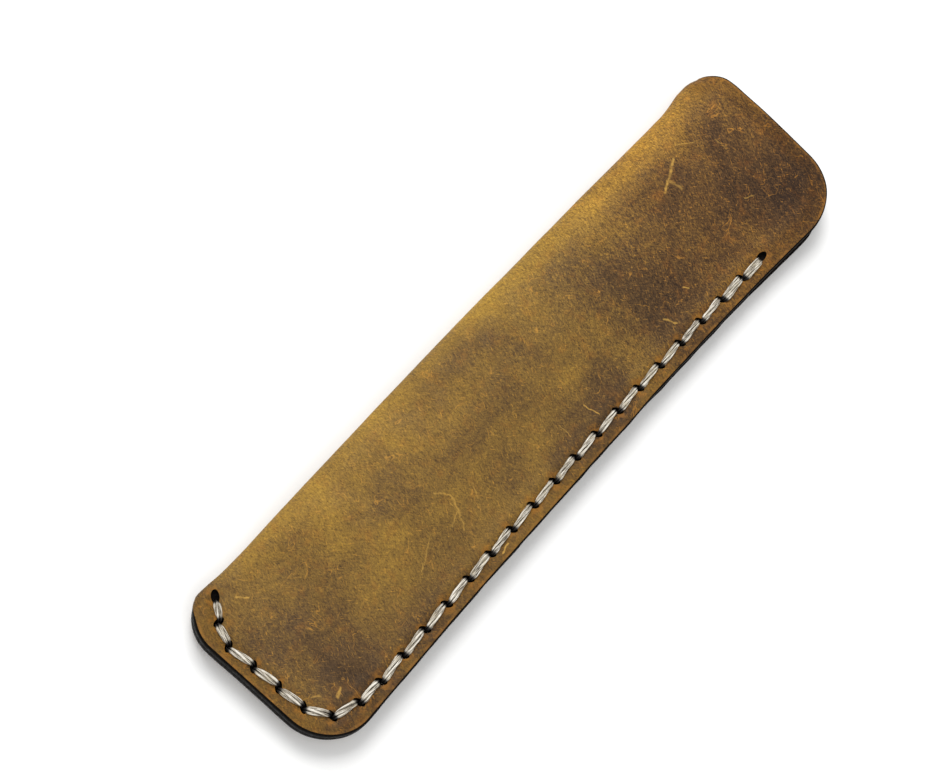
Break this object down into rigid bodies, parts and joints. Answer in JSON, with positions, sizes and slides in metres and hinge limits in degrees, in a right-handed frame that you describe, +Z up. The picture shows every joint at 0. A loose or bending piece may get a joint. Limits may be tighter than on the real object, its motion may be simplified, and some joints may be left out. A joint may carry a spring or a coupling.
{
  "type": "fountain pen case",
  "caption": "Slim leather sleeve for one pen: a single blank folded along one long side and saddle stitched round the closed end and up the other side, with an open mouth.",
  "frame": {"origin": "bottom centre of the sleeve's box, on the flat of its back panel, which it lies on", "axes": "+Y along the sleeve from the closed end to the mouth, +X from the fold to the stitched side, +Z up out of the front panel"},
  "size_m": [0.0404, 0.164, 0.0096],
  "materials": {
    "oiled_leather": "distressed oil-tanned pull-up leather, golden brown with dark patches, black painted cut edges, suede flesh side inside",
    "waxed_thread": "off-white waxed multi-ply linen thread, slightly soiled between the plies"
  },
  "bodies": {
    "root": {"folded_leather_blank": "oiled_leather", "saddle_stitch_thread": "waxed_thread"}
  },
  "joints": []
}
